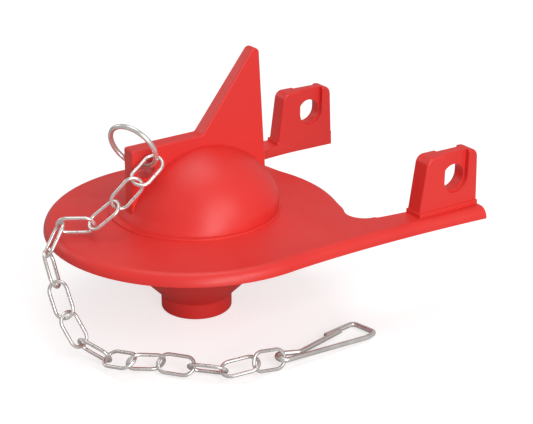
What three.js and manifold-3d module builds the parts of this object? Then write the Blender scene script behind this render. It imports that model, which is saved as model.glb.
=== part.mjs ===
// Toilet flapper with its pull ring, chain and wire hook.
// Millimetres, +Z up. The group's origin is on the hinge axis, midway between the ears.
// Its children are laid out from the centre of the sealing disc, on its flat underside,
// with +X towards the ears.

import * as THREE from 'three';
import { mergeVertices } from 'three/addons/utils/BufferGeometryUtils.js';
import Module from 'manifold-3d';

// Sealing disc
const discRadius = 37.5;
const discThickness = 2.8;
const rimRound = 2.5;
const coneRise = 1.2;
const stepWidth = 0.6;
const stepHeight = 0.6;

// Hollow bulb above and below the disc
const domeRadius = 20.2;
const domeHeight = 16.4;
const domePower = 1.85;
const domeBaseShift = 0.6;
const domeLean = 1.0;
const leanHeight = 3.4;
const wall = 2.1;
const coneRadius = 23.1;
const coneEdge = 4;
const coneDepth = 18.9;
const stubRadius = 9;
const stubLength = 4.1;
const mouthRadius = 5.75;

// Lift fin on the dome
const finFront = -17.9;
const finTop = 22.6;
const finTopRise = 0.5;
const finKink = 1.3;
const finKinkRadius = 0.8;
const finPeak = 42.5;
const finBack = 17.9;
const finBackLean = 1.9;
const finTipRadius = 1.3;
const finThickness = 4.3;
const finDraft = 0.045;
const ringHoleRadius = 2.35;
const ringHoleInset = 3.6;
const ringHoleDrop = 5;

// Two arms that carry the ears
const armEnd = 62.9;
const armInner = 28.8;
const armRootIn = 1.9;
const armBeyondEar = 4.4;
const armWaistIn = 1.8;
const armEdgeRound = 0.25;
const crotchRadius = 4.5;
const crotchFade = 14;

// Hinge ears
const earThickness = 5;
const earLength = 19.1;
const earTop = 17.8;
const earCorner = 2.3;
const earLean = 2.4;
const earBackLean = 0.75;
const earHoleRadius = 3.4;
const earHoleHeight = 11;
const earHoleBack = 7.4;
const recessRim = 0.35;
const recessDepth = 1.25;
const lipProud = 0.35;
const lipHeight = 3.9;

// Pull ring, held in the fin's hole
const ringRadius = 6.25;
const ringWire = 1.3;
const ringAxis = [-0.82, -0.4, -0.42];
const ringTowardsHole = [0.46, 0.15, -0.87];
const ringTowardsChain = [0.56, -0.64, -0.52];

// Chain
const linkLength = 9.7;
const linkWidth = 5.45;
const chainWire = 0.9;
const linkPlay = 0.3;
const seam = 0.15;

// Wire hook at the chain's free end
const hookWire = 1.3;
const hookEyeRadius = 1.65;
const hookLength = 29;
const hookWidth = 7.6;
const hookBend = 1.9;
const hookHeading = 1;
const hookSlope = -3;

// Colours
const rubberRed = 0xd92b2a;
const zincGrey = 0xc3c5c6;

const wasm = await Module();
wasm.setup();
const UP = new THREE.Vector3(0, 0, 1);
const radians = THREE.MathUtils.degToRad;
const degrees = THREE.MathUtils.radToDeg;
const at = (x, y) => new THREE.Vector2(x, y);

// Solid helpers

function solidOf(geometry) {
  geometry.deleteAttribute('normal');
  geometry.deleteAttribute('uv');
  const merged = mergeVertices(geometry, 1e-4);
  const vertProperties = new Float32Array(merged.attributes.position.array);
  const triVerts = new Uint32Array(merged.index.array);
  return new wasm.Manifold(new wasm.Mesh({ numProp: 3, vertProperties, triVerts }));
}

function geometryOf(solid) {
  const mesh = solid.getMesh();
  const geometry = new THREE.BufferGeometry();
  geometry.setAttribute('position', new THREE.BufferAttribute(new Float32Array(mesh.vertProperties), 3));
  geometry.setIndex(new THREE.BufferAttribute(new Uint32Array(mesh.triVerts), 1));
  geometry.computeVertexNormals();
  return geometry;
}

// Points along an arc, in degrees, at most one step apart.
function arc(centre, radius, from, to, step = 15) {
  const count = Math.max(2, Math.ceil(Math.abs(to - from) / step));
  const points = [];
  for (let i = 0; i <= count; i += 1) {
    const angle = radians(from + ((to - from) * i) / count);
    points.push(at(centre.x + radius * Math.cos(angle), centre.y + radius * Math.sin(angle)));
  }
  return points;
}

// The rounded corner between two straight stretches.
function bend(before, corner, after, radius, step = 20) {
  const toBefore = before.clone().sub(corner).normalize();
  const toAfter = after.clone().sub(corner).normalize();
  const half = Math.acos(THREE.MathUtils.clamp(toBefore.dot(toAfter), -1, 1)) / 2;
  const middle = toBefore.clone().add(toAfter).normalize();
  const centre = middle.multiplyScalar(radius / Math.sin(half)).add(corner);
  const start = toBefore.multiplyScalar(radius / Math.tan(half)).add(corner).sub(centre);
  const end = toAfter.multiplyScalar(radius / Math.tan(half)).add(corner).sub(centre);
  const from = degrees(start.angle());
  let turn = degrees(end.angle()) - from;
  if (turn > 180) turn -= 360;
  if (turn < -180) turn += 360;
  return arc(centre, radius, from, from + turn, step);
}

// An outline in X and Z between two places along Y.
function upright(points, near, far) {
  const shape = new THREE.Shape(points);
  const geometry = new THREE.ExtrudeGeometry(shape, { depth: far - near, bevelEnabled: false });
  geometry.rotateX(Math.PI / 2);
  return geometry.translate(0, far, 0);
}

function box(x0, x1, y0, y1, z0, z1) {
  const geometry = new THREE.BoxGeometry(x1 - x0, y1 - y0, z1 - z0);
  return solidOf(geometry.translate((x0 + x1) / 2, (y0 + y1) / 2, (z0 + z1) / 2));
}

const bothSides = (solid) => solid.add(solid.mirror([0, 1, 0]));

// Disc and arms

const armOver = armEnd + 4;
const earFront = armEnd - earLength;
const earOuter = armInner + earThickness;
const armHalfWidth = earOuter + armBeyondEar;
const armWaist = armHalfWidth - armWaistIn;
const armInnerRoot = armInner - armRootIn;
const armRoot = discRadius * 0.85;

// Inner edge of the +Y arm.
function armInnerEdge() {
  const root = at(armRoot, armInnerRoot);
  const straight = at(earFront + 5, armInner);
  const middle = at((root.x + straight.x) / 2, armInner - 0.5);
  const edge = new THREE.QuadraticBezierCurve(root, middle, straight).getPoints(8);
  return [...edge, at(armOver, armInner)];
}

// The plate's outline, counterclockwise. Each point carries the width of the rounded rim there,
// which fades out where the disc's rim meets an arm, so the arms' inner edges stay sharp.
function plateRim() {
  const crotchY = armInnerRoot - crotchRadius;
  const crotchX = Math.sqrt((discRadius + crotchRadius) ** 2 - crotchY ** 2);
  const crotchAngle = degrees(Math.atan2(crotchY, crotchX));
  const shoulder = 82;
  const tip = at(armOver, armHalfWidth);
  const rimStart = arc(at(0, 0), discRadius, shoulder, 90)[0];
  const waist = at(armEnd / 2, 2 * armWaist - (tip.y + rimStart.y) / 2);
  const rim = (points, round) => points.map((point) => ({ point, round: round(point) }));
  const full = () => rimRound;
  const sharp = () => armEdgeRound;
  const fading = (point) => {
    const left = THREE.MathUtils.smoothstep(crotchAngle - degrees(point.angle()), 0, crotchFade);
    return armEdgeRound + (rimRound - armEdgeRound) * left;
  };
  const half = [
    ...rim(arc(at(0, 0), discRadius, 0, crotchAngle, 4), fading),
    ...rim(arc(at(crotchX, crotchY), crotchRadius, 180 + crotchAngle, 90, 15).slice(1), sharp),
    ...rim(armInnerEdge().filter((p) => p.x > crotchX + 0.5), sharp),
    ...rim(new THREE.QuadraticBezierCurve(tip, waist, rimStart).getPoints(10), full),
    ...rim(arc(at(0, 0), discRadius, shoulder, 180, 5).slice(1), full),
  ];
  const twin = half.map(({ point, round }) => ({ point: at(point.x, -point.y), round }));
  return [...half, ...twin.reverse().slice(1, -1)];
}

// Way into the plate at an outline point.
function inwards(rim, index) {
  const { point } = rim[index];
  if (point.x > armEnd) return at(0, Math.abs(point.y) > armInner + 1 ? -Math.sign(point.y) : Math.sign(point.y));
  const before = rim[(index + rim.length - 1) % rim.length].point;
  const after = rim[(index + 1) % rim.length].point;
  const along = after.clone().sub(before).normalize();
  return at(-along.y, along.x);
}

// Disc and arms in one, built up level by level; what lies below the underside is cut off later.
function plate() {
  const rim = plateRim();
  const steps = 4;
  const levels = [{ z: -1, inset: 0 }];
  for (let i = 0; i <= steps; i += 1) {
    const angle = ((Math.PI / 2) * i) / steps;
    levels.push({ z: discThickness * Math.sin(angle), inset: 1 - Math.cos(angle) });
  }
  const rings = levels.map(({ inset }) => rim.map(({ point, round }, index) => (
    point.clone().addScaledVector(inwards(rim, index), round * inset))));
  const positions = [];
  rings.forEach((ring, level) => ring.forEach((p) => positions.push(p.x, p.y, levels[level].z)));
  const faces = [];
  const count = rim.length;
  const top = (levels.length - 1) * count;
  THREE.ShapeUtils.triangulateShape(rings[0], []).forEach(([a, b, c]) => faces.push(a, c, b));
  THREE.ShapeUtils.triangulateShape(rings.at(-1), []).forEach(([a, b, c]) => faces.push(top + a, top + b, top + c));
  for (let level = 0; level + 1 < levels.length; level += 1) {
    for (let i = 0; i < count; i += 1) {
      const a = level * count + i;
      const b = level * count + ((i + 1) % count);
      faces.push(a, b, b + count, a, b + count, a + count);
    }
  }
  const geometry = new THREE.BufferGeometry();
  geometry.setAttribute('position', new THREE.BufferAttribute(new Float32Array(positions), 3));
  geometry.setIndex(faces);
  return solidOf(geometry);
}

// Ears

const earHole = at(armEnd - earHoleBack, earHoleHeight);

function ear() {
  const frontTop = at(earFront + earLean, earTop);
  const backTop = at(armEnd - earBackLean, earTop);
  const frontFoot = at(earFront, -1);
  const backFoot = at(armOver, -1);
  const outline = [
    frontFoot,
    backFoot,
    at(armOver, lipHeight),
    at(armEnd, lipHeight),
    ...bend(at(armEnd, lipHeight), backTop, frontTop, earCorner),
    ...bend(backTop, frontTop, frontFoot, earCorner),
  ];
  const blade = solidOf(upright(outline, armInner, earOuter));
  const lipFront = frontFoot.x + (frontTop.x - frontFoot.x) * ((lipHeight + 1) / (earTop + 1)) - lipProud;
  const lip = box(lipFront, armOver, armInner, earOuter + lipProud, -1, lipHeight);
  return blade.add(lip);
}

// Round hole through the ear and a slot, open at the top, in both of its faces.
function earCuts() {
  const slotHalf = earHoleRadius + recessRim;
  const slot = [
    ...arc(earHole, slotHalf, 180, 360),
    at(earHole.x + slotHalf, earTop + 1),
    at(earHole.x - slotHalf, earTop + 1),
  ];
  const hole = arc(earHole, earHoleRadius, 0, 360).slice(0, -1);
  const innerSlot = solidOf(upright(slot, armInner - 1, armInner + recessDepth));
  const outerSlot = solidOf(upright(slot, earOuter - recessDepth, earOuter + 1));
  const through = solidOf(upright(hole, armInner - 1, earOuter + 1));
  return innerSlot.add(outerSlot).add(through);
}

// Bulb

const stepRadius = domeRadius + domeBaseShift + stepWidth;
const domeBase = discThickness + coneRise;
const foot = -coneDepth - stubLength;

function leanAt(z) {
  const rise = THREE.MathUtils.clamp((z - domeBase) / leanHeight, 0, 1);
  return domeBaseShift + domeLean * rise;
}

function domeArc(radius, height) {
  const count = 12;
  const points = [];
  for (let i = 0; i < count; i += 1) {
    const angle = ((Math.PI / 2) * i) / count;
    const r = radius * Math.cos(angle) ** (2 / domePower);
    points.push(at(r, domeBase + height * Math.sin(angle) ** (2 / domePower)));
  }
  return [...points, at(0, domeBase + height)];
}

function turned(profile, segments = 48) {
  const geometry = new THREE.LatheGeometry(profile, segments);
  return geometry.rotateX(Math.PI / 2);
}

// The dome leans a little towards the ears.
function leaning(geometry) {
  const position = geometry.attributes.position;
  for (let i = 0; i < position.count; i += 1) {
    position.setX(i, position.getX(i) + leanAt(position.getZ(i)));
  }
  return geometry;
}

function bulb() {
  const coverEdge = discRadius - rimRound - 0.1;
  const base = turned([
    at(0, foot),
    at(stubRadius, foot),
    at(stubRadius, -coneDepth),
    at(coneRadius, -coneEdge),
    at(coneRadius + coneEdge / 5, 0),
    at(coneRadius + coneEdge / 5, discThickness / 2),
    at(coverEdge, discThickness / 2),
    at(coverEdge, discThickness - 0.01),
    at(stepRadius, domeBase),
    at(stepRadius, domeBase + stepHeight),
    at(stepRadius - stepWidth, domeBase + stepHeight),
    at(0, domeBase + stepHeight),
  ]);
  const dome = leaning(turned([at(0, domeBase - 1), at(domeRadius, domeBase - 1), ...domeArc(domeRadius, domeHeight)]));
  return solidOf(base).add(solidOf(dome));
}

// Space inside the bulb, open at the stub's mouth.
function chamber() {
  const innerDome = domeRadius - wall;
  const below = (coneRadius - stubRadius) / (coneDepth - coneEdge);
  const side = wall * Math.hypot(1, below) / 1;
  const coneX = (z) => stubRadius + (z + coneDepth) * below - side;
  const profile = [
    at(0, foot - 1),
    at(mouthRadius, foot - 1),
    at(mouthRadius, -coneDepth + (mouthRadius - stubRadius + side) / below),
    at(innerDome, -coneDepth + (innerDome - stubRadius + side) / below),
    ...domeArc(innerDome, domeHeight - wall),
  ];
  const corner = profile[3].y;
  const geometry = turned(profile);
  const position = geometry.attributes.position;
  for (let i = 0; i < position.count; i += 1) {
    const rise = THREE.MathUtils.clamp((position.getZ(i) - corner) / (domeBase - corner), 0, 1);
    const lean = position.getZ(i) > domeBase ? leanAt(position.getZ(i)) : domeBaseShift * rise;
    position.setX(i, position.getX(i) + lean);
  }
  return solidOf(geometry);
}

// Fin

const finSlopeFoot = at(finKink, finTop + finTopRise);
const ringHole = at(finFront + ringHoleInset, finTop - ringHoleDrop);

function fin() {
  const frontTop = at(finFront, finTop);
  const slopeAngle = Math.atan2(finPeak - finSlopeFoot.y, finBack - finTipRadius - finSlopeFoot.x);
  const peak = at(finSlopeFoot.x + (finPeak + 1 - finSlopeFoot.y) / Math.tan(slopeAngle), finPeak + 1);
  const tipCentre = at(finBack - finTipRadius, finPeak - finTipRadius);
  const tangent = 90 + degrees(slopeAngle);
  const inside = domeBase + 1;
  const outline = [
    at(finFront - 0.4, inside),
    at(finBack + finBackLean, inside),
    at(finBack + finBackLean, domeBase + domeHeight * 0.4),
    ...arc(tipCentre, finTipRadius, 0, tangent, 25),
    ...bend(peak, finSlopeFoot, frontTop, finKinkRadius, 20),
    ...bend(finSlopeFoot, frontTop, at(finFront, inside), 0.6, 30),
  ];
  const geometry = upright(outline, -finThickness / 2, finThickness / 2);
  const position = geometry.attributes.position;
  for (let i = 0; i < position.count; i += 1) {
    const draft = (finDraft * (position.getZ(i) - finTop)) / 2;
    position.setY(i, position.getY(i) - Math.sign(position.getY(i)) * draft);
  }
  return solidOf(geometry);
}

function ringHoleCut() {
  const outline = arc(ringHole, ringHoleRadius, 0, 360, 20).slice(0, -1);
  return solidOf(upright(outline, -finThickness, finThickness));
}

function flapperBody() {
  const ears = ear().subtract(earCuts());
  const flat = plate().add(bothSides(ears));
  const reach = discRadius + armOver;
  const trimmed = flat.intersect(box(-reach, armEnd, -reach, reach, 0, reach));
  const whole = trimmed.add(bulb()).add(fin());
  return whole.subtract(chamber()).subtract(ringHoleCut());
}

// Bent wire

// A wire's centre line; its stations follow the points, not the length.
class WirePath extends THREE.Curve {
  constructor(points) {
    super();
    this.points = points;
  }

  getPoint(t) {
    const last = this.points.length - 1;
    const place = THREE.MathUtils.clamp(t, 0, 1) * last;
    const index = Math.min(Math.floor(place), last - 1);
    return this.points[index].clone().lerp(this.points[index + 1], place - index);
  }

  getUtoTmapping(u) {
    return u;
  }
}

// Round wire along points in the XY plane.
function bentWire(points, diameter, sides = 8) {
  const section = new THREE.Shape(arc(at(0, 0), diameter / 2, 22.5, 382.5, 360 / sides).slice(0, -1));
  const extrudePath = new WirePath(points.map((p) => new THREE.Vector3(p.x, p.y, 0)));
  const geometry = new THREE.ExtrudeGeometry(section, { steps: points.length - 1, extrudePath });
  geometry.deleteAttribute('normal');
  geometry.deleteAttribute('uv');
  return mergeVertices(geometry, 1e-4);
}

function linkGeometry() {
  const radius = (linkWidth - chainWire) / 2;
  const half = (linkLength - linkWidth) / 2;
  return bentWire([
    at(seam / 2, -radius),
    ...arc(at(half, 0), radius, -90, 90, 20),
    ...arc(at(-half, 0), radius, 90, 270, 20),
    at(-seam / 2, -radius),
  ], chainWire);
}

// Local X is the hook's length, Y points to the latch side, the eye's wire is at the start.
function hookGeometry() {
  const eye = at(hookEyeRadius, 0);
  const apart = hookWire + 0.35;
  const kink = at(eye.x + 4.6, -hookEyeRadius + apart + 0.1);
  const toKink = kink.clone().sub(eye);
  const leave = degrees(toKink.angle()) + degrees(Math.acos(hookEyeRadius / toKink.length()));
  const eyeTop = arc(eye, hookEyeRadius, leave, leave + 1)[0];
  const tip = at(hookLength - hookWire / 2, 0.6);
  const nearEnd = at(tip.x - 3, -hookEyeRadius + 0.9);
  const head = at(tip.x - 2, tip.y + hookWidth - hookWire);
  const freeEnd = at(hookLength * 0.57, head.y - 2.3);
  const latchEnd = at(hookLength * 0.74, head.y - 1 - apart);
  return bentWire([
    latchEnd,
    ...bend(latchEnd, kink, eyeTop, 2),
    ...arc(eye, hookEyeRadius, leave, 270, 20),
    ...bend(eye.clone().setY(-hookEyeRadius), nearEnd, tip, 6, 10),
    ...bend(nearEnd, tip, head, hookBend * 0.6, 20),
    ...bend(tip, head, freeEnd, hookBend * 0.7, 20),
    freeEnd,
  ], hookWire);
}

// Placement

// Direction from a heading around Z and a slope above the horizontal, in degrees.
function direction(heading, slope) {
  const level = Math.cos(radians(slope));
  return new THREE.Vector3(
    level * Math.cos(radians(heading)),
    level * Math.sin(radians(heading)),
    Math.sin(radians(slope)),
  );
}

// Turns local X along the direction; roll turns local Y up from the horizontal.
function aim(mesh, along, roll) {
  const side = new THREE.Vector3().crossVectors(UP, along).normalize();
  const above = new THREE.Vector3().crossVectors(along, side);
  const across = side.multiplyScalar(Math.cos(radians(roll)));
  across.addScaledVector(above, Math.sin(radians(roll)));
  const normal = new THREE.Vector3().crossVectors(along, across);
  mesh.quaternion.setFromRotationMatrix(new THREE.Matrix4().makeBasis(along, across, normal));
}

// How the chain lies, link by link: heading, slope and roll in degrees.
const chainLay = [
  [-165, -30, 154],
  [155, -48, 80],
  [155, -39, 159],
  [147, -1, 69],
  [-154, -45, -145],
  [-94, -51, 130],
  [-85, -59, -129],
  [-50, -62, -157],
  [-60, -16, -60],
  [-70, 12, -156],
  [-8, -15, -71],
  [-51, 1, -141],
  [-43, -1, -46],
  [-22, 10, -163],
  [2, -10, -110],
];

const flapper = new THREE.Group();
flapper.name = 'toilet_flapper';
flapper.position.set(-earHole.x, 0, -earHole.y);

function add(name, geometry, material) {
  const mesh = new THREE.Mesh(geometry, material);
  mesh.name = name;
  flapper.add(mesh);
  return mesh;
}

const rubber = () => new THREE.MeshStandardMaterial({ color: rubberRed, roughness: 0.45, metalness: 0 });
const zinc = () => new THREE.MeshStandardMaterial({ color: zincGrey, roughness: 0.25, metalness: 1 });

add('flapper_body', geometryOf(flapperBody()), rubber());

const ring = add('pull_ring', new THREE.TorusGeometry(ringRadius, ringWire / 2, 8, 36), zinc());
const ringNormal = new THREE.Vector3(...ringAxis).normalize();
const towardsHole = new THREE.Vector3(...ringTowardsHole).projectOnPlane(ringNormal).normalize();
const towardsChain = new THREE.Vector3(...ringTowardsChain).projectOnPlane(ringNormal).normalize();
ring.quaternion.setFromUnitVectors(UP, ringNormal);
ring.position.set(ringHole.x, 0, ringHole.y).addScaledVector(towardsHole, -ringRadius);

// Each link's end holds its neighbour's wire, with the play between the two wires.
const reach = linkLength - chainWire;
let wireEnd = ring.position.clone().addScaledVector(towardsChain, ringRadius);
let before = direction(chainLay[0][0], chainLay[0][1]);
let apart = (ringWire + chainWire) / 2 + linkPlay;

function nextStart(along) {
  const line = before.clone().add(along).normalize();
  return wireEnd.clone().addScaledVector(line, -apart);
}

chainLay.forEach(([heading, slope, roll], index) => {
  const link = add(`chain_link_${String(index + 1).padStart(2, '0')}`, linkGeometry(), zinc());
  const along = direction(heading, slope);
  aim(link, along, roll);
  link.position.copy(nextStart(along)).addScaledVector(along, reach / 2);
  wireEnd = link.position.clone().addScaledVector(along, reach / 2);
  before = along;
  apart = chainWire + linkPlay;
});

const hook = add('snap_hook', hookGeometry(), zinc());
const hookAlong = direction(hookHeading, hookSlope);
aim(hook, hookAlong, 0);
apart = (hookWire + chainWire) / 2 + linkPlay;
hook.position.copy(nextStart(hookAlong));

export default flapper;
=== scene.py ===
"""Toilet flapper: rubber moulding, pull ring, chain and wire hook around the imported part."""

import math

import bpy
import numpy as np
from bpy.props import FloatProperty, FloatVectorProperty, IntProperty, PointerProperty
from mathutils import Matrix, Vector


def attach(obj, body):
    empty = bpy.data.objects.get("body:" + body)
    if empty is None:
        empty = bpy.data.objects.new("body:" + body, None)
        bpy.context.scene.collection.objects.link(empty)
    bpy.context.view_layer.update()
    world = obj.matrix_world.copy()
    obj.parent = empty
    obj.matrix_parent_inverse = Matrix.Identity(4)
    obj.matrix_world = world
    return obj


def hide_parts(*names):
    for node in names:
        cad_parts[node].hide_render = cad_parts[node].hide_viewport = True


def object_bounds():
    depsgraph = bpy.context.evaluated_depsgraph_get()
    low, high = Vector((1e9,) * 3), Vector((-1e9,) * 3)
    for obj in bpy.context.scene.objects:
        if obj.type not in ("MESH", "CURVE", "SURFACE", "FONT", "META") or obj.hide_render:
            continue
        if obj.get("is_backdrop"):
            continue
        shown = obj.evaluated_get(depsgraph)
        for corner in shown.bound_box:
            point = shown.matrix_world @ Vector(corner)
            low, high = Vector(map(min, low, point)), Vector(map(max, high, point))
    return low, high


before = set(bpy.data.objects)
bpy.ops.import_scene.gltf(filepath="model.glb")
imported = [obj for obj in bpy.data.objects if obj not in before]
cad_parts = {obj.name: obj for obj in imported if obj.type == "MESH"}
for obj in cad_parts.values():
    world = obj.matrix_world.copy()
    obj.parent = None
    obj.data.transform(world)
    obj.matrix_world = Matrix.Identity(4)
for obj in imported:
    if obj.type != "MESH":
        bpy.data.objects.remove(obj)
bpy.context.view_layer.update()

bl_info = {
    "name": "Toilet flapper",
    "version": (1, 0, 0),
    "blender": (4, 5, 0),
    "location": "View3D > Sidebar > Flapper",
    "description": "Rubber flapper with its pull ring, chain and wire hook",
    "category": "Object",
}

MM = 0.001
LINKS = 15

# The moulding is made around its disc's centre and then moved to the hinge axis.
HINGE_FROM_DISC = Vector((55.5, 0.0, 11.0)) * MM

# The hook's direction in degrees, from +X and from level
HOOK_HEADING = 1
HOOK_SLOPE = -3

# How far cutters and hidden ends reach past the surface that they meet
OVERLAP = MM

# Least angles, in degrees, of the edges that are rounded or shaded as edges
BEVEL_ANGLE = 50
LIP_BEVEL_ANGLE = 40
RUBBER_EDGE_ANGLE = 35
WIRE_EDGE_ANGLE = 40

# How strongly large faces set the rubber's shading
NORMAL_WEIGHT = 60

# Points nearer than this are one point
SAME_PLACE = MM / 1000

# Degrees from point to point on curves
ARC_STEP = 6.0
CORNER_STEP = 8.0
WIRE_BEND_STEP = 9

# Faces in a whole turn
TURNED_STEPS = 144
CHAMBER_STEPS = 96
RING_STEPS = 96


def length(name, description, millimetres):
    """A size that a user can change, kept in metres."""
    return FloatProperty(name=name, description=description, default=millimetres * MM, unit="LENGTH")


def colour(name, description, rgb):
    """A colour that a user can change."""
    return FloatVectorProperty(
        name=name, description=description, default=rgb, subtype="COLOR", size=3, min=0.0, max=1.0
    )


class MouldingSizes(bpy.types.PropertyGroup):
    """Sizes of the rubber moulding, from the centre of its disc's flat underside."""

    disc_radius: length("Disc radius", "Sealing disc", 37.45)
    disc_thickness: length("Disc thickness", "Disc and arms", 2.8)
    rim_round: length("Rim rounding", "Width of the rounded rim", 2.5)
    cone_rise: length("Top rise", "Rise of the disc's top towards the bulb", 1.2)
    step_width: length("Step width", "Fine step around the dome", 0.55)
    step_height: length("Step height", "Fine step around the dome", 0.45)
    dome_radius: length("Dome radius", "Bulb above the disc", 20.2)
    dome_height: length("Dome height", "Bulb above the disc", 16.4)
    dome_shift: length("Dome shift", "Offset of the dome's foot towards the ears", 0.6)
    dome_lean: length("Dome lean", "Further offset of the dome's upper part", 1.0)
    lean_height: length("Lean height", "Height over which the lean builds up", 3.4)
    wall: length("Wall", "Rubber thickness of the bulb", 2.1)
    cone_radius: length("Cone radius", "Bulb under the disc", 23.1)
    cone_edge: length("Cone edge", "Short upright band under the disc", 4.0)
    cone_depth: length("Cone depth", "From the disc down to the stub", 18.9)
    stub_radius: length("Stub radius", "Short pipe under the cone", 9.0)
    stub_length: length("Stub length", "Short pipe under the cone", 4.1)
    mouth_radius: length("Mouth radius", "Bore of the stub", 5.75)
    fin_front: length("Fin front", "Front edge of the lift fin", -17.9)
    fin_top: length("Fin top", "Low top edge of the fin", 22.6)
    fin_top_rise: length("Fin top rise", "Rise of the low top edge", 0.5)
    fin_kink: length("Fin kink", "Where the fin starts to climb", 1.3)
    fin_kink_radius: length("Fin kink rounding", "Corner where the fin starts to climb", 0.8)
    fin_peak: length("Fin peak", "Highest point of the fin", 42.5)
    fin_back: length("Fin back", "Back edge of the fin at its tip", 17.9)
    fin_back_lean: length("Fin back lean", "How far the back edge leans", 1.9)
    fin_tip_radius: length("Fin tip radius", "Rounded tip", 1.3)
    fin_thickness: length("Fin thickness", "At the low top edge", 4.3)
    ring_hole_radius: length("Ring hole radius", "Hole in the fin", 2.35)
    ring_hole_inset: length("Ring hole inset", "From the fin's front edge", 3.6)
    ring_hole_drop: length("Ring hole drop", "From the fin's low top edge", 5.0)
    arm_end: length("Arm end", "Flat end of the arms", 62.9)
    arm_half_width: length("Arm half width", "Outer edge at the ears", 38.2)
    arm_waist: length("Arm waist", "Outer edge halfway along", 36.4)
    arm_inner: length("Arm inner", "Inner edge at the ears", 28.8)
    arm_inner_root: length("Arm inner root", "Inner edge at the disc", 26.9)
    crotch_radius: length("Crotch radius", "Fillet between disc and arm", 4.5)
    arm_edge: length("Arm edge rounding", "Inner edges of the arms", 0.25)
    ear_thickness: length("Ear thickness", "Hinge ears", 5.0)
    ear_length: length("Ear length", "Hinge ears", 19.1)
    ear_top: length("Ear top", "Hinge ears", 17.8)
    ear_corner: length("Ear corner", "Rounded upper corners", 2.3)
    ear_lean: length("Ear lean", "Slope of the ears' front edge", 2.4)
    ear_back_lean: length("Ear back lean", "Slope of the ears' back edge", 0.75)
    ear_hole_radius: length("Ear hole radius", "Hole for the valve's peg", 3.4)
    recess_rim: length("Recess rim", "Slot beyond the hole on each side", 0.35)
    recess_depth: length("Recess depth", "Slot in each face of the ear", 1.25)
    lip_proud: length("Lip proud", "Foot of the ear beyond its faces", 0.35)
    lip_height: length("Lip height", "Foot of the ear", 3.9)
    fine_round: length("Fine rounding", "Small rounding on the fin", 0.4)
    ear_round: length("Ear rounding", "Outer edges of the ears", 0.6)


class WireSizes(bpy.types.PropertyGroup):
    """Sizes of the ring, the chain's links and the hook."""

    ring_radius: length("Ring radius", "Middle of the ring's wire", 6.25)
    ring_wire: length("Ring wire", "Thickness", 1.26)
    link_length: length("Link length", "Over all", 9.7)
    link_width: length("Link width", "Over all", 5.45)
    chain_wire: length("Chain wire", "Thickness", 0.85)
    seam: length("Seam", "Gap where a wire's ends meet", 0.15)
    hook_wire: length("Hook wire", "Thickness", 1.24)
    hook_eye_radius: length("Hook eye radius", "Middle of the eye's wire", 1.65)
    hook_length: length("Hook length", "From the eye's wire to the tip", 29.0)
    hook_width: length("Hook width", "Over the tip", 7.6)
    hook_bend: length("Hook bend", "Bends at the tip", 1.9)
    round_sides: IntProperty(name="Wire sides", description="Faces around a wire", default=16, min=8)


class Finishes(bpy.types.PropertyGroup):
    """Colours of the surfaces and of the stage."""

    rubber: colour("Rubber", "Moulded red rubber", (0.80, 0.038, 0.030))
    rubber_deep: colour("Rubber, deep", "Slightly darker patches of the rubber", (0.75, 0.030, 0.026))
    wire: colour("Wire", "Bright zinc", (0.90, 0.88, 0.85))
    # Second wire colour: painted reflection. Noise spreads darker patches at random over the zinc to stand
    # in for dark surroundings mirrored in the wire.
    wire_painted_reflection: colour("Wire, painted reflection", "Random darker patches of painted reflection", (0.62, 0.60, 0.57))
    floor: colour("Floor", "Plain pale floor", (0.5, 0.5, 0.5))


# Working with objects


def deselect():
    if bpy.context.mode != "OBJECT":
        bpy.ops.object.mode_set(mode="OBJECT")
    bpy.ops.object.select_all(action="DESELECT")


def take(piece):
    """Makes one object the only selected and active one."""
    deselect()
    piece.select_set(True)
    bpy.context.view_layer.objects.active = piece


def edit(piece, element="VERT"):
    """Goes to edit mode with everything selected."""
    take(piece)
    bpy.ops.object.mode_set(mode="EDIT")
    bpy.ops.mesh.select_mode(type=element)
    bpy.ops.mesh.select_all(action="SELECT")


def done(piece):
    """Back to object mode with the piece's place in its mesh."""
    bpy.ops.object.mode_set(mode="OBJECT")
    take(piece)
    bpy.ops.object.transform_apply(location=True, rotation=True, scale=True)
    return piece


def outline(name, points):
    """A flat face whose corners are the given points."""
    deselect()
    bpy.ops.mesh.primitive_circle_add(vertices=len(points), radius=MM, fill_type="NGON", location=(0, 0, 0))
    piece = bpy.context.object
    piece.name = name
    for vertex, point in zip(piece.data.vertices, points):
        vertex.co = Vector(point)
    return piece


def thicken(piece, by):
    """Extrudes a flat outline into a closed solid."""
    edit(piece, "FACE")
    bpy.ops.mesh.extrude_region_move(TRANSFORM_OT_translate={"value": by})
    bpy.ops.mesh.select_all(action="SELECT")
    bpy.ops.mesh.normals_make_consistent(inside=False)
    return done(piece)


def select_edges(piece, wanted):
    """Selects the edges whose two corners pass a test, in edit mode."""
    edit(piece, "EDGE")
    bpy.ops.mesh.select_all(action="DESELECT")
    bpy.ops.object.mode_set(mode="OBJECT")
    vertices = piece.data.vertices
    for line in piece.data.edges:
        line.select = wanted(vertices[line.vertices[0]].co, vertices[line.vertices[1]].co)
    bpy.ops.object.mode_set(mode="EDIT")


def modify(piece, kind, **settings):
    """Adds a modifier and applies it."""
    take(piece)
    modifier = piece.modifiers.new(kind.title(), kind)
    for key, value in settings.items():
        setattr(modifier, key, value)
    bpy.ops.object.modifier_apply(modifier=modifier.name)
    return piece


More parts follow.
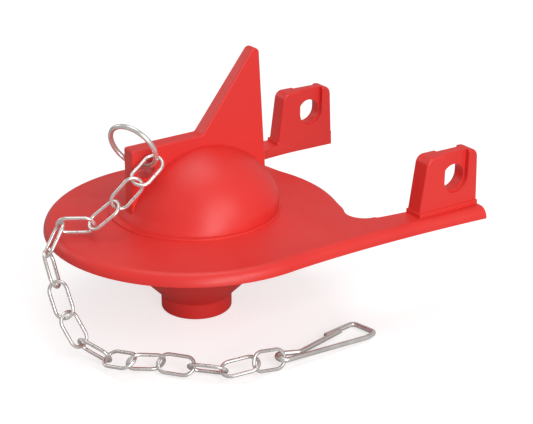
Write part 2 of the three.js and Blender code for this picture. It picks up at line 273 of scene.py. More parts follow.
def turned(name, profile, steps=TURNED_STEPS):
    """A closed solid turned around Z from a profile that starts and ends on the axis."""
    piece = outline(name, [(x, 0.0, z) for x, z in profile])
    edit(piece, "FACE")
    bpy.ops.mesh.delete(type="ONLY_FACE")
    on_axis = MM / 100
    select_edges(piece, lambda a, b: abs(a.x) < on_axis and abs(b.x) < on_axis)
    bpy.ops.mesh.delete(type="EDGE")
    done(piece)
    modify(piece, "SCREW", angle=math.tau, steps=steps, render_steps=steps, use_merge_vertices=True,
           merge_threshold=on_axis, use_smooth_shade=False)
    edit(piece)
    bpy.ops.mesh.remove_doubles(threshold=on_axis)
    bpy.ops.mesh.normals_make_consistent(inside=False)
    return done(piece)


def rounded(piece, width, segments, angle=BEVEL_ANGLE):
    """Rounds a solid's sharp edges."""
    return modify(piece, "BEVEL", width=width, segments=segments, limit_method="ANGLE",
                  angle_limit=math.radians(angle))


def combine(piece, other, operation="UNION"):
    """Joins or cuts with another solid, which is used up."""
    modify(piece, "BOOLEAN", operation=operation, object=other, solver="EXACT")
    bpy.data.objects.remove(other, do_unlink=True)
    return piece


def mirror_copy(piece):
    """The same solid on the other side of the middle plane."""
    take(piece)
    bpy.ops.object.duplicate()
    twin = bpy.context.object
    twin.scale.y = -1.0
    bpy.ops.object.transform_apply(location=False, rotation=False, scale=True)
    edit(twin)
    bpy.ops.mesh.normals_make_consistent(inside=False)
    return done(twin)


def arc(centre, radius, start, end, step=ARC_STEP):
    """Points along an arc, in degrees."""
    count = max(2, math.ceil(abs(end - start) / step))
    angles = [math.radians(start + (end - start) * i / count) for i in range(count + 1)]
    return [(centre[0] + radius * math.cos(a), centre[1] + radius * math.sin(a)) for a in angles]


def bend(before, corner, after, radius, step=CORNER_STEP):
    """The rounded corner between two straight stretches."""
    corner = Vector(corner)
    to_before = (Vector(before) - corner).normalized()
    to_after = (Vector(after) - corner).normalized()
    half = math.acos(max(-1.0, min(1.0, to_before.dot(to_after)))) / 2
    centre = corner + (to_before + to_after).normalized() * (radius / math.sin(half))
    first = corner + to_before * (radius / math.tan(half)) - centre
    last = corner + to_after * (radius / math.tan(half)) - centre
    start = math.degrees(math.atan2(first.y, first.x))
    turn = (math.degrees(math.atan2(last.y, last.x)) - start + 180) % 360 - 180
    return arc(centre, radius, start, start + turn, step)


def curve3(a, control, b, count):
    """Points along a quadratic curve."""
    a, control, b = Vector(a), Vector(control), Vector(b)
    steps = [i / count for i in range(count + 1)]
    return [tuple(a * (1 - t) ** 2 + control * 2 * t * (1 - t) + b * t ** 2) for t in steps]


# Materials

# Most values of a noise texture lie between these two.
NOISE_LOW = 0.3
NOISE_HIGH = 0.7

# Sockets of a mix node that mixes colours
MIX_FACTOR = 0
MIX_FIRST = 6
MIX_SECOND = 7
MIX_RESULT = 2


def node_material(name):
    material = bpy.data.materials.new(name)
    material.use_nodes = True
    return material, material.node_tree.nodes, material.node_tree.links


def add_node(nodes, kind, **settings):
    node = nodes.new(kind)
    for key, value in settings.items():
        setattr(node, key, value)
    return node


def noise(nodes, links, place, scale, detail=3.0):
    """A noise texture; scale is in waves per metre."""
    texture = add_node(nodes, "ShaderNodeTexNoise")
    texture.inputs["Scale"].default_value = scale
    texture.inputs["Detail"].default_value = detail
    links.new(place, texture.inputs["Vector"])
    return texture.outputs["Fac"]


def spread(nodes, links, value, low, high):
    """Maps a noise value to a range."""
    mapped = add_node(nodes, "ShaderNodeMapRange")
    mapped.inputs["From Min"].default_value = NOISE_LOW
    mapped.inputs["From Max"].default_value = NOISE_HIGH
    mapped.inputs["To Min"].default_value = low
    mapped.inputs["To Max"].default_value = high
    links.new(value, mapped.inputs["Value"])
    return mapped.outputs["Result"]


def mixed_colour(nodes, links, factor, first, second):
    """A colour between two, by a factor from 0 to 1."""
    mix = add_node(nodes, "ShaderNodeMix", data_type="RGBA")
    mix.inputs[MIX_FIRST].default_value = (*first, 1.0)
    mix.inputs[MIX_SECOND].default_value = (*second, 1.0)
    links.new(factor, mix.inputs[MIX_FACTOR])
    return mix.outputs[MIX_RESULT]


def bumps(nodes, links, height, strength, distance):
    """A fine relief that only the shading shows."""
    bump = add_node(nodes, "ShaderNodeBump")
    bump.inputs["Strength"].default_value = strength
    bump.inputs["Distance"].default_value = distance
    links.new(height, bump.inputs["Height"])
    return bump.outputs["Normal"]


def rubber_material():
    """Satin moulded rubber: faint mottling, soft gloss and a fine skin texture."""
    mottle_scale = 45.0
    mottle_detail = 4.0
    gloss_scale = 130.0
    least_roughness = 0.36
    most_roughness = 0.46
    skin_scale = 2600.0
    skin_detail = 2.0
    skin_strength = 0.06
    skin_depth = 0.05 * MM
    reflection = 0.45
    finishes = bpy.context.scene.flapper_finishes
    material, nodes, links = node_material("red_rubber_finish")
    shader = nodes["Principled BSDF"]
    place = add_node(nodes, "ShaderNodeTexCoord").outputs["Object"]
    mottle = noise(nodes, links, place, mottle_scale, mottle_detail)
    patches = spread(nodes, links, mottle, 0.0, 1.0)
    colours = mixed_colour(nodes, links, patches, finishes.rubber, finishes.rubber_deep)
    links.new(colours, shader.inputs["Base Color"])
    gloss = noise(nodes, links, place, gloss_scale)
    roughness = spread(nodes, links, gloss, least_roughness, most_roughness)
    links.new(roughness, shader.inputs["Roughness"])
    skin = noise(nodes, links, place, skin_scale, skin_detail)
    links.new(bumps(nodes, links, skin, skin_strength, skin_depth), shader.inputs["Normal"])
    shader.inputs["Specular IOR Level"].default_value = reflection
    return material


def wire_material():
    """Bright zinc wire with darker patches of painted reflection and fine drawing marks."""
    painted_reflection_scale = 260.0
    painted_reflection_detail = 2.0
    most_painted_reflection = 0.6
    gloss_scale = 900.0
    least_roughness = 0.18
    most_roughness = 0.28
    mark_scale = 1500.0
    mark_detail = 1.0
    mark_strength = 0.03
    mark_depth = 0.02 * MM
    metal_share = 0.75
    finishes = bpy.context.scene.flapper_finishes
    material, nodes, links = node_material("zinc_wire_finish")
    shader = nodes["Principled BSDF"]
    place = add_node(nodes, "ShaderNodeTexCoord").outputs["Object"]
    # Painted reflection: noise darkens the zinc's colour in random patches that stand in for dark
    # surroundings mirrored in the wire.
    painted_reflection_noise = noise(nodes, links, place, painted_reflection_scale, painted_reflection_detail)
    painted_reflection_share = spread(nodes, links, painted_reflection_noise, 0.0, most_painted_reflection)
    colours = mixed_colour(nodes, links, painted_reflection_share, finishes.wire, finishes.wire_painted_reflection)
    links.new(colours, shader.inputs["Base Color"])
    gloss = noise(nodes, links, place, gloss_scale)
    roughness = spread(nodes, links, gloss, least_roughness, most_roughness)
    links.new(roughness, shader.inputs["Roughness"])
    marks = noise(nodes, links, place, mark_scale, mark_detail)
    links.new(bumps(nodes, links, marks, mark_strength, mark_depth), shader.inputs["Normal"])
    shader.inputs["Metallic"].default_value = metal_share
    return material


def dress(piece, material, body, slot, *replaced):
    """Finishes a piece and ties it to the CAD."""
    piece.data.materials.clear()
    piece.data.materials.append(material)
    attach(piece, body)
    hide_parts(*replaced)


def find_material(name, make):
    return bpy.data.materials.get(name) or make()


# Rubber moulding


def arm_inner_edge(size, over):
    """Inner edge of the +Y arm, from inside the disc to past the arm's end."""
    root_share = 0.85
    past_ear_front = 5 * MM
    hollow = 0.5 * MM
    steps = 16
    root = (size.disc_radius * root_share, size.arm_inner_root)
    straight = (size.arm_end - size.ear_length + past_ear_front, size.arm_inner)
    middle = ((root[0] + straight[0]) / 2, size.arm_inner - hollow)
    return curve3(root, middle, straight, steps) + [(over, size.arm_inner)]


def plate_rim(size):
    """The plate's outline: at each point, its place and the width of the rounded rim."""
    past_end = 4 * MM
    past_crotch = 0.3 * MM
    # Degrees around the disc: where the arm's outer edge leaves it, and the stretch before the
    # crotch over which the rounded rim fades
    shoulder = 82.0
    fade = 14.0
    between_arms_step = 2
    crotch_step = 7
    free_rim_step = 2.5
    arm_steps = 24
    over = size.arm_end + past_end
    crotch_y = size.arm_inner_root - size.crotch_radius
    crotch_x = math.sqrt((size.disc_radius + size.crotch_radius) ** 2 - crotch_y ** 2)
    crotch_angle = math.degrees(math.atan2(crotch_y, crotch_x))
    tip = (over, size.arm_half_width)
    rim_start = arc((0, 0), size.disc_radius, shoulder, 90)[0]
    waist = (size.arm_end / 2, 2 * size.arm_waist - (tip[1] + rim_start[1]) / 2)

    def fading(point):
        """Width of the rounded rim between the arms."""
        left = (crotch_angle - math.degrees(math.atan2(point[1], point[0]))) / fade
        left = max(0.0, min(1.0, left))
        return size.arm_edge + (size.rim_round - size.arm_edge) * left * left * (3 - 2 * left)

    between_arms = arc((0, 0), size.disc_radius, 0, crotch_angle, between_arms_step)
    crotch = arc((crotch_x, crotch_y), size.crotch_radius, 180 + crotch_angle, 90, crotch_step)
    free_rim = arc((0, 0), size.disc_radius, shoulder, 180, free_rim_step)
    half = [(p, fading(p)) for p in between_arms]
    half += [(p, size.arm_edge) for p in crotch[1:]]
    half += [(p, size.arm_edge) for p in arm_inner_edge(size, over) if p[0] > crotch_x + past_crotch]
    half += [(p, size.rim_round) for p in curve3(tip, waist, rim_start, arm_steps)]
    half += [(p, size.rim_round) for p in free_rim[1:]]
    return half + [((p[0], -p[1]), width) for p, width in reversed(half[1:-1])]


def inwards(size, rim, index):
    """Way into the plate at an outline point; past the arms' ends it is across the arm."""
    edge_margin = MM
    x, y = rim[index][0]
    if x > size.arm_end:
        side = math.copysign(1.0, y)
        return Vector((0.0, -side if abs(y) > size.arm_inner + edge_margin else side))
    before, after = rim[index - 1][0], rim[(index + 1) % len(rim)][0]
    along = (Vector(after) - Vector(before)).normalized()
    return Vector((-along.y, along.x))


def plate(size):
    """Disc and arms, extruded level by level; the rounded rim fades out along the arms' inner sides."""
    levels = 8
    digits = 3
    rim = plate_rim(size)
    angles = [math.pi / 2 * (i + 1) / levels for i in range(levels)]
    piece = outline("plate", [(p[0], p[1], 0.0) for p, width in rim])
    edit(piece, "FACE")
    height = 0.0
    for angle in angles:
        rise = size.disc_thickness * math.sin(angle) - height
        bpy.ops.mesh.extrude_region_move(TRANSFORM_OT_translate={"value": (0, 0, rise)})
        height += rise
    done(piece)

    def spot(x, y):
        """A place rounded to thousandths of a millimetre."""
        return round(x / MM, digits), round(y / MM, digits)

    places = {spot(*point): index for index, (point, width) in enumerate(rim)}
    for vertex in piece.data.vertices:
        index = places[spot(vertex.co.x, vertex.co.y)]
        inset = 1 - math.sqrt(max(0.0, 1 - (vertex.co.z / size.disc_thickness) ** 2))
        shift = inwards(size, rim, index) * (rim[index][1] * inset)
        vertex.co.x += shift.x
        vertex.co.y += shift.y
    edit(piece)
    bpy.ops.mesh.normals_make_consistent(inside=False)
    bpy.ops.mesh.bisect(plane_co=(size.arm_end, 0, 0), plane_no=(1, 0, 0), use_fill=True, clear_outer=True)
    bpy.ops.mesh.select_all(action="SELECT")
    bpy.ops.mesh.normals_make_consistent(inside=False)
    return done(piece)


def dome_base(size):
    """Height of the dome's foot."""
    return size.disc_thickness + size.cone_rise


def lean_at(size, z):
    """How far the bulb is shifted towards the ears at a height."""
    rise = max(0.0, min(1.0, (z - dome_base(size)) / size.lean_height))
    rise = rise * rise * (3 - 2 * rise)
    return size.dome_shift + size.dome_lean * rise


def dome_arc(size, radius, height):
    """Profile of the dome, a little fuller than a half ellipse."""
    fullness = 1.85
    steps = 40
    base = dome_base(size)
    power = 2 / fullness
    angles = [math.pi / 2 * i / steps for i in range(steps)]
    points = [(radius * math.cos(a) ** power, base + height * math.sin(a) ** power) for a in angles]
    return points + [(0.0, base + height)]


def bulb(size):
    """Stub, cone, the disc's rising top, the fine step and the dome."""
    inside_rim = 0.1 * MM
    below_top = 0.01 * MM
    foot_round = 0.4 * MM
    stub_fillet = MM
    band_slope = 5
    foot = -size.cone_depth - size.stub_length
    cover = size.disc_radius - size.rim_round - inside_rim
    step = size.dome_radius + size.dome_shift + size.step_width
    inner = step - size.step_width
    base = dome_base(size)
    step_top = base + size.step_height
    half = size.disc_thickness / 2
    band = size.cone_radius + size.cone_edge / band_slope
    stub_foot = (size.stub_radius, foot)
    stub_head = (size.stub_radius, -size.cone_depth)
    cone_rim = (size.cone_radius, -size.cone_edge)
    profile = [(0.0, foot)]
    profile += bend((0, foot), stub_foot, stub_head, foot_round)
    profile += bend(stub_foot, stub_head, cone_rim, stub_fillet)
    profile += [cone_rim, (band, 0.0), (band, half)]
    profile += [(cover, half), (cover, size.disc_thickness - below_top), (step, base)]
    profile += bend((step, base), (step, step_top), (inner, step_top), size.step_height / 3)
    profile += [(inner - OVERLAP, step_top), (0.0, step_top)]
    core = turned("bulb", profile)
    dome_profile = [(0.0, base - OVERLAP), (size.dome_radius, base - OVERLAP)]
    dome = turned("dome", dome_profile + dome_arc(size, size.dome_radius, size.dome_height))
    for vertex in dome.data.vertices:
        vertex.co.x += lean_at(size, vertex.co.z)
    return combine(core, dome)


def chamber(size):
    """The space inside the bulb, open at the stub's mouth."""
    inner = size.dome_radius - size.wall
    slope = (size.cone_radius - size.stub_radius) / (size.cone_depth - size.cone_edge)
    side = size.wall * math.hypot(1, slope)
    foot = -size.cone_depth - size.stub_length - OVERLAP
    throat = -size.cone_depth + (size.mouth_radius - size.stub_radius + side) / slope
    corner = -size.cone_depth + (inner - size.stub_radius + side) / slope
    profile = [(0.0, foot), (size.mouth_radius, foot), (size.mouth_radius, throat), (inner, corner)]
    profile += dome_arc(size, inner, size.dome_height - size.wall)
    piece = turned("chamber", profile, CHAMBER_STEPS)
    for vertex in piece.data.vertices:
        z = vertex.co.z
        rise = max(0.0, min(1.0, (z - corner) / (dome_base(size) - corner)))
        vertex.co.x += lean_at(size, z) if z > dome_base(size) else size.dome_shift * rise
    return piece


def fin(size):
    """The lift fin, a little thinner towards its tip."""
    front_foot_lean = 0.4 * MM
    back_root_share = 0.4
    front_round = 0.6 * MM
    front_step = 20
    tip_step = 12
    draft = 0.045
    kink = (size.fin_kink, size.fin_top + size.fin_top_rise)
    tip = (size.fin_back - size.fin_tip_radius, size.fin_peak - size.fin_tip_radius)
    slope = math.atan2(size.fin_peak - kink[1], tip[0] - kink[0])
    above = size.fin_peak + OVERLAP
    peak = (kink[0] + (above - kink[1]) / math.tan(slope), above)
    inside = dome_base(size) + OVERLAP
    front = (size.fin_front, size.fin_top)
    back = size.fin_back + size.fin_back_lean
    back_root = dome_base(size) + size.dome_height * back_root_share
    points = [(size.fin_front - front_foot_lean, inside), (back, inside), (back, back_root)]
    points += arc(tip, size.fin_tip_radius, 0, 90 + math.degrees(slope), tip_step)
    points += bend(peak, kink, front, size.fin_kink_radius)
    points += bend(kink, front, (size.fin_front, inside), front_round, front_step)
    half = size.fin_thickness / 2
    piece = thicken(outline("fin", [(x, -half, z) for x, z in points]), (0, 2 * half, 0))
    for vertex in piece.data.vertices:
        vertex.co.y -= math.copysign(draft * (vertex.co.z - size.fin_top) / 2, vertex.co.y)
    return rounded(piece, size.fine_round, segments=3)


def post(name, centre, radius, near, far, step=ARC_STEP):
    """A round cutter along Y."""
    points = arc(centre, radius, 0, 360, step)[:-1]
    return thicken(outline(name, [(x, near, z) for x, z in points]), (0, far - near, 0))


def ear(size):
    """One hinge ear with its foot, hole and slots, on the +Y side."""
    foot = 0.05 * MM
    hole_round = 0.12 * MM
    lip_round = 0.2 * MM
    inner = size.arm_inner
    outer = inner + size.ear_thickness
    front = size.arm_end - size.ear_length
    front_top = (front + size.ear_lean, size.ear_top)
    back_top = (size.arm_end - size.ear_back_lean, size.ear_top)
    points = [(front, foot), (size.arm_end, foot), (size.arm_end, size.lip_height)]
    points += bend(points[2], back_top, front_top, size.ear_corner)
    points += bend(back_top, front_top, points[0], size.ear_corner)
    blade = thicken(outline("ear", [(x, inner, z) for x, z in points]), (0, size.ear_thickness, 0))
    rounded(blade, size.ear_round, segments=4)
    hole = (HINGE_FROM_DISC.x, HINGE_FROM_DISC.z)
    half = size.ear_hole_radius + size.recess_rim
    slot = arc(hole, half, 180, 360)
    slot += [(hole[0] + half, size.ear_top + OVERLAP), (hole[0] - half, size.ear_top + OVERLAP)]
    inner_slot = (inner - OVERLAP, inner + size.recess_depth)
    outer_slot = (outer - size.recess_depth, outer + OVERLAP)
    for near, far in (inner_slot, outer_slot):
        cutter = thicken(outline("slot", [(x, near, z) for x, z in slot]), (0, far - near, 0))
        combine(blade, cutter, "DIFFERENCE")
    bore = post("hole", hole, size.ear_hole_radius, inner - OVERLAP, outer + OVERLAP)
    combine(blade, bore, "DIFFERENCE")
    rounded(blade, hole_round, segments=2)
    lip_front = front + size.ear_lean * size.lip_height / size.ear_top - size.lip_proud
    lip = [(lip_front, inner), (size.arm_end, inner)]
    lip += [(size.arm_end, outer + size.lip_proud), (lip_front, outer + size.lip_proud)]
    pad = thicken(outline("lip", [(x, y, foot) for x, y in lip]), (0, 0, size.lip_height))
    rounded(pad, lip_round, segments=2, angle=LIP_BEVEL_ANGLE)
    return combine(blade, pad)


class FLAPPER_OT_moulding(bpy.types.Operator):
    """Makes the one-piece rubber moulding: disc, bulb, fin, arms and ears"""

    bl_idname = "flapper.moulding"
    bl_label = "Rubber moulding"

    def execute(self, context):
        size = context.scene.flapper_moulding
        piece = plate(size)
        piece.name = "rubber_moulding"
        combine(piece, bulb(size))
        combine(piece, fin(size))
        right = ear(size)
        left = mirror_copy(right)
        combine(piece, right)
        combine(piece, left)
        combine(piece, chamber(size), "DIFFERENCE")
        hole = (size.fin_front + size.ring_hole_inset, size.fin_top - size.ring_hole_drop)
        past_fin = 4 * MM
        bore = post("ring_hole", hole, size.ring_hole_radius, -past_fin, past_fin, step=12)
        combine(piece, bore, "DIFFERENCE")
        piece.data.transform(Matrix.Translation(-HINGE_FROM_DISC))
        take(piece)
        bpy.ops.object.shade_smooth_by_angle(angle=math.radians(RUBBER_EDGE_ANGLE))
        modify(piece, "WEIGHTED_NORMAL", mode="FACE_AREA", weight=NORMAL_WEIGHT, keep_sharp=True)
        material = find_material("red_rubber_finish", rubber_material)
        dress(piece, material, "flapper", "red_rubber", "flapper_body")
        return {"FINISHED"}


# Bent wire


def wire_start(name, diameter, sides):
    """A round face across the wire at the origin, facing +X."""
    deselect()
    bpy.ops.mesh.primitive_circle_add(
        vertices=sides, radius=diameter / 2, fill_type="NGON", rotation=(0, math.pi / 2, 0)
    )
    piece = bpy.context.object
    piece.name = name
    bpy.ops.object.transform_apply(location=False, rotation=True, scale=False)
    edit(piece, "FACE")
    return piece


def run_wire(name, diameter, sides, start, heading, moves):
    """Bends a wire in the XY plane, as a wire-bending machine does.

    A move is ("run", length) or ("turn", radius, degrees); a positive turn goes to the left."""
    fewest_steps = 3
    piece = wire_start(name, diameter, sides)
    place = Vector((0.0, 0.0, 0.0))
    angle = 0.0
    for move in moves:
        along = Vector((math.cos(angle), math.sin(angle), 0.0))
        if move[0] == "run":
            bpy.ops.mesh.extrude_region_move(TRANSFORM_OT_translate={"value": along * move[1]})
            place = place + along * move[1]
            continue
        radius, degrees = move[1], move[2]
        side = math.copysign(1.0, degrees)
        centre = place + Vector((-along.y, along.x, 0.0)) * (side * radius)
        turn = math.radians(degrees)
        steps = max(fewest_steps, round(abs(degrees) / WIRE_BEND_STEP))
        bpy.ops.mesh.spin(steps=steps, angle=-abs(turn), center=centre, axis=(0, 0, side))
        place = centre + Matrix.Rotation(turn, 3, "Z") @ (place - centre)
        angle += turn
    bpy.ops.mesh.select_all(action="SELECT")
    bpy.ops.mesh.remove_doubles(threshold=SAME_PLACE)
    bpy.ops.mesh.normals_make_consistent(inside=False)
    done(piece)
    turn_back = Matrix.Rotation(math.radians(heading), 4, "Z")
    piece.data.transform(Matrix.Translation((*start, 0.0)) @ turn_back)
    take(piece)
    bpy.ops.object.shade_smooth_by_angle(angle=math.radians(WIRE_EDGE_ANGLE))
    return piece


def node_points(node):
    """Corners of a CAD node, as rows."""
    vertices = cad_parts[node].data.vertices
    points = np.empty(len(vertices) * 3)
    vertices.foreach_get("co", points)
    return np.unique(points.reshape(-1, 3).round(7), axis=0)


def node_place(node):
    """Where a symmetric wire piece lies in the CAD: its middle, and its long, wide and thin directions."""
    points = node_points(node)
    mean = points.mean(axis=0)
    directions = np.linalg.eigh(np.cov((points - mean).T))[1]
    long, wide = directions[:, 2], directions[:, 1]
    reach = [((points @ d).max() + (points @ d).min()) / 2 for d in (long, wide)]
    thin = np.cross(long, wide)
    reach.append(((points @ thin).max() + (points @ thin).min()) / 2)
    middle = reach[0] * long + reach[1] * wide + reach[2] * thin
    if (mean - middle) @ wide > 0:
        wide, thin = -wide, -thin
    return place_matrix(middle, long, wide, thin)


def place_matrix(middle, long, wide, thin):
    """A place and its three directions as one matrix."""
    matrix = Matrix.Identity(4)
    for column, direction in enumerate((long, wide, thin, middle)):
        for row in range(3):
            matrix[row][column] = float(direction[row])
    return matrix


class FLAPPER_OT_pull_ring(bpy.types.Operator):
    """Makes the round wire ring in the fin's hole"""

    bl_idname = "flapper.pull_ring"
    bl_label = "Pull ring"

    def execute(self, context):
        size = context.scene.flapper_wire
        deselect()
        bpy.ops.mesh.primitive_torus_add(
            major_radius=size.ring_radius, minor_radius=size.ring_wire / 2,
            major_segments=RING_STEPS, minor_segments=size.round_sides
        )
        ring = bpy.context.object
        ring.name = "wire_ring"
        ring.data.transform(node_place("pull_ring"))
        take(ring)
        bpy.ops.object.shade_smooth()
        dress(ring, find_material("zinc_wire_finish", wire_material), "ring", "zinc_wire", "pull_ring")
        return {"FINISHED"}


class FLAPPER_OT_chain(bpy.types.Operator):
    """Makes the chain's bent links"""

    bl_idname = "flapper.chain"
    bl_label = "Chain"

    def execute(self, context):
        size = context.scene.flapper_wire
        radius = (size.link_width - size.chain_wire) / 2
        half = (size.link_length - size.link_width) / 2
        moves = [("run", half - size.seam / 2), ("turn", radius, 180), ("run", 2 * half)]
        moves += [("turn", radius, 180), ("run", half - size.seam / 2)]
        model = run_wire("link", size.chain_wire, size.round_sides, (size.seam / 2, -radius), 0, moves)
        material = find_material("zinc_wire_finish", wire_material)
        for number in range(1, LINKS + 1):
            take(model)
            bpy.ops.object.duplicate()
            link = bpy.context.object
            link.name = f"wire_link_{number:02d}"
            link.data.transform(node_place(f"chain_link_{number:02d}"))
            dress(link, material, f"link_{number:02d}", "zinc_wire", f"chain_link_{number:02d}")
        bpy.data.objects.remove(model, do_unlink=True)
        return {"FINISHED"}


def hook_route(size):
    """Corner points of the hook's wire, in its own plane, as in the CAD."""
    strand_gap = 0.35 * MM
    kink_run = 4.6 * MM
    kink_lift = 0.1 * MM
    tip_lift = 0.6 * MM
    tip_run = 3 * MM
    tip_dip = 0.9 * MM
    head_back = 2 * MM
    free_end_share = 0.57
    free_end_drop = 2.3 * MM
    latch_end_share = 0.74
    latch_end_drop = MM
    eye = Vector((size.hook_eye_radius, 0.0))
    apart = size.hook_wire + strand_gap
    kink = Vector((eye.x + kink_run, -size.hook_eye_radius + apart + kink_lift))
    tip = Vector((size.hook_length - size.hook_wire / 2, tip_lift))
    near_end = Vector((tip.x - tip_run, -size.hook_eye_radius + tip_dip))
    head = Vector((tip.x - head_back, tip.y + size.hook_width - size.hook_wire))
    free_end = Vector((size.hook_length * free_end_share, head.y - free_end_drop))
    latch_end = Vector((size.hook_length * latch_end_share, head.y - latch_end_drop - apart))
    return eye, kink, tip, near_end, head, free_end, latch_end


def hook_moves(size):
    """Start, heading and moves of the hook's wire, from its latch end round to its free end."""
    eye, kink, tip, near_end, head, free_end, latch_end = hook_route(size)
    to_kink = kink - eye
    leave = math.atan2(to_kink.y, to_kink.x) + math.acos(size.hook_eye_radius / to_kink.length)
    eye_top = eye + Vector((math.cos(leave), math.sin(leave))) * size.hook_eye_radius
    eye_foot = eye + Vector((0.0, -size.hook_eye_radius))
    kink_bend = 2 * MM
    strand_bend = 6 * MM
    tip_bend_share = 0.6
    head_bend_share = 0.7
    stops = [latch_end, kink, eye_top]
    bends = [kink_bend]
    after = [eye_foot, near_end, tip, head, free_end]
    after_bends = [strand_bend, size.hook_bend * tip_bend_share, size.hook_bend * head_bend_share]
    moves = []

    def heading(a, b):
        return math.degrees(math.atan2(b.y - a.y, b.x - a.x))

    def straight_stretches(points, radii):
        """Runs and turns along a line of corners."""
        used = 0.0
        for i in range(len(points) - 1):
            run = (points[i + 1] - points[i]).length - used
            if i < len(radii):
                turn = heading(points[i + 1], points[i + 2]) - heading(points[i], points[i + 1])
                turn = (turn + 180) % 360 - 180
                cut = radii[i] * math.tan(math.radians(abs(turn)) / 2)
                moves.append(("run", run - cut))
                moves.append(("turn", radii[i], turn))
                used = cut
            else:
                moves.append(("run", run))

    straight_stretches(stops, bends)
    moves.append(("turn", size.hook_eye_radius, 270 - math.degrees(leave)))
    straight_stretches(after, after_bends)
    return latch_end, heading(latch_end, kink), moves


class FLAPPER_OT_hook(bpy.types.Operator):
    """Makes the bent wire hook at the chain's end"""

    bl_idname = "flapper.hook"
    bl_label = "Wire hook"

    def execute(self, context):
        size = context.scene.flapper_wire
        start, heading, moves = hook_moves(size)
        hook = run_wire("wire_hook", size.hook_wire, size.round_sides, start, heading, moves)
        heading, slope = math.radians(HOOK_HEADING), math.radians(HOOK_SLOPE)
        level = math.cos(slope)
        along = np.array([level * math.cos(heading), level * math.sin(heading), math.sin(slope)])
        wide = np.cross([0.0, 0.0, 1.0], along)
        wide = wide / np.linalg.norm(wide)
        thin = np.cross(along, wide)
        made = np.empty(len(hook.data.vertices) * 3)
        hook.data.vertices.foreach_get("co", made)
        made = made.reshape(-1, 3)
        points = node_points("snap_hook")
        middle = np.zeros(3)
        for index, direction in enumerate((along, wide, thin)):
            reach = points @ direction
            own = made[:, index]
            middle += direction * ((reach.max() + reach.min()) / 2 - (own.max() + own.min()) / 2)
        hook.data.transform(place_matrix(middle, along, wide, thin))
        dress(hook, find_material("zinc_wire_finish", wire_material), "hook", "zinc_wire", "snap_hook")
        return {"FINISHED"}


# Stage

CAMERA_PLACE = Vector((-195.72, -245.5, 110.15)) * MM
CAMERA_AZIMUTH = -33.35
CAMERA_ELEVATION = 22.78
CAMERA_ROLL = 0.31
CAMERA_LENS = 82.9
CAMERA_SENSOR = 36.0
CAMERA_NEAREST = 0.01

FLOOR_SIDE = 6.0
FLOOR_GAP = 0.02 * MM
FLOOR_ROUGHNESS = 0.9
FLOOR_REFLECTION = 0.1
# How bright the floor and the background look, and how much the background lights the part
FLOOR_GLOW = 0.66
BACKGROUND_SEEN = 1.0
BACKGROUND_LIGHT = 0.4
WHITE = (1, 1, 1, 1)

# Name, place in metres, side of the square and watts; all aim at one place.
LAMP_AIM = (-0.03, 0, 0)
LAMPS = (
    ("key_light", (-0.02, -0.67, 0.42), 0.42, 2.3),
    ("back_light", (-0.5, 0.75, 0.4), 0.4, 0.8),
    ("low_light", (-0.2, -0.7, 0.13), 0.3, 1.5),
    ("top_light", (-0.02, 0.1, 0.8), 0.5, 1.7),
)


def camera_matrix():
    """The camera's place and direction, as in the photo."""
    azimuth, elevation = math.radians(CAMERA_AZIMUTH), math.radians(CAMERA_ELEVATION)
    roll = math.radians(CAMERA_ROLL)
    level = math.cos(elevation)
    forward = Vector((-math.sin(azimuth) * level, math.cos(azimuth) * level, -math.sin(elevation)))
    right = Vector((math.cos(azimuth), math.sin(azimuth), 0.0))
    up = right.cross(forward)
    across = right * math.cos(roll) + up * math.sin(roll)
    upright = up * math.cos(roll) - right * math.sin(roll)
    return place_matrix(CAMERA_PLACE, across, upright, -forward)


def seen_directly(nodes, links):
    """1 for rays from the camera or through glass, else 0."""
    path = add_node(nodes, "ShaderNodeLightPath")
    either = add_node(nodes, "ShaderNodeMath", operation="MAXIMUM")
    links.new(path.outputs["Is Camera Ray"], either.inputs[0])
    links.new(path.outputs["Is Transmission Ray"], either.inputs[1])
    return either.outputs[0]


def soft_lamp(name, place, aim, size, watts):
    """A square lamp that points at a place."""
    deselect()
    bpy.ops.object.light_add(type="AREA", location=place)
    lamp = bpy.context.object
    lamp.name = name
    lamp.data.shape = "SQUARE"
    lamp.data.size = size
    lamp.data.energy = watts
    lamp.rotation_euler = (Vector(aim) - Vector(place)).to_track_quat("-Z", "Y").to_euler()
    return lamp


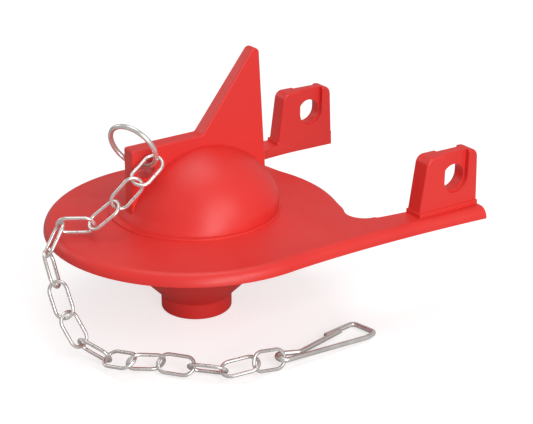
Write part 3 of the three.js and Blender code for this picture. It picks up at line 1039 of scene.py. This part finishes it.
class FLAPPER_OT_stage(bpy.types.Operator):
    """Sets the floor, the light, the background and the camera"""

    bl_idname = "flapper.stage"
    bl_label = "Stage"

    def execute(self, context):
        finishes = context.scene.flapper_finishes
        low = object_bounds()[0][2]
        deselect()
        bpy.ops.mesh.primitive_plane_add(size=FLOOR_SIDE, location=(0, 0, low - FLOOR_GAP))
        floor = bpy.context.object
        floor.name = "floor"
        bpy.ops.object.transform_apply(location=True, rotation=False, scale=False)
        material, nodes, links = node_material("floor_finish")
        shader = nodes["Principled BSDF"]
        shader.inputs["Base Color"].default_value = (*finishes.floor, 1.0)
        shader.inputs["Roughness"].default_value = FLOOR_ROUGHNESS
        shader.inputs["Specular IOR Level"].default_value = FLOOR_REFLECTION
        shader.inputs["Emission Color"].default_value = WHITE
        glow = add_node(nodes, "ShaderNodeMath", operation="MULTIPLY")
        glow.inputs[1].default_value = FLOOR_GLOW
        links.new(seen_directly(nodes, links), glow.inputs[0])
        links.new(glow.outputs[0], shader.inputs["Emission Strength"])
        floor.data.materials.append(material)
        floor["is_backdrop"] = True

        world = bpy.data.worlds.new("studio")
        context.scene.world = world
        world.use_nodes = True
        nodes, links = world.node_tree.nodes, world.node_tree.links
        nodes["Background"].inputs["Color"].default_value = WHITE
        strength = add_node(nodes, "ShaderNodeMapRange")
        strength.inputs["To Min"].default_value = BACKGROUND_LIGHT
        strength.inputs["To Max"].default_value = BACKGROUND_SEEN
        links.new(seen_directly(nodes, links), strength.inputs["Value"])
        links.new(strength.outputs["Result"], nodes["Background"].inputs["Strength"])

        for name, place, side, watts in LAMPS:
            soft_lamp(name, place, LAMP_AIM, side, watts)

        camera = bpy.data.objects.new("camera", bpy.data.cameras.new("camera"))
        context.scene.collection.objects.link(camera)
        camera.matrix_world = camera_matrix()
        camera.data.lens = CAMERA_LENS
        camera.data.sensor_width = CAMERA_SENSOR
        camera.data.clip_start = CAMERA_NEAREST
        context.scene.camera = camera
        context.scene.view_settings.view_transform = "Standard"
        return {"FINISHED"}


OPERATORS = (
    FLAPPER_OT_moulding,
    FLAPPER_OT_pull_ring,
    FLAPPER_OT_chain,
    FLAPPER_OT_hook,
    FLAPPER_OT_stage,
)


class FLAPPER_PT_panel(bpy.types.Panel):
    """Lists the steps that make the flapper"""

    bl_idname = "FLAPPER_PT_panel"
    bl_label = "Toilet flapper"
    bl_space_type = "VIEW_3D"
    bl_region_type = "UI"
    bl_category = "Flapper"

    def draw(self, context):
        for operator in OPERATORS:
            self.layout.operator(operator.bl_idname)


GROUPS = {"flapper_moulding": MouldingSizes, "flapper_wire": WireSizes, "flapper_finishes": Finishes}


def register():
    for group in GROUPS.values():
        bpy.utils.register_class(group)
    for operator in OPERATORS:
        bpy.utils.register_class(operator)
    bpy.utils.register_class(FLAPPER_PT_panel)
    for name, group in GROUPS.items():
        setattr(bpy.types.Scene, name, PointerProperty(type=group))


def unregister():
    for name in GROUPS:
        delattr(bpy.types.Scene, name)
    bpy.utils.unregister_class(FLAPPER_PT_panel)
    for operator in reversed(OPERATORS):
        bpy.utils.unregister_class(operator)
    for group in reversed(list(GROUPS.values())):
        bpy.utils.unregister_class(group)


def main():
    register()
    bpy.ops.flapper.moulding()
    bpy.ops.flapper.pull_ring()
    bpy.ops.flapper.chain()
    bpy.ops.flapper.hook()
    bpy.ops.flapper.stage()


if __name__ == "__main__":
    main()
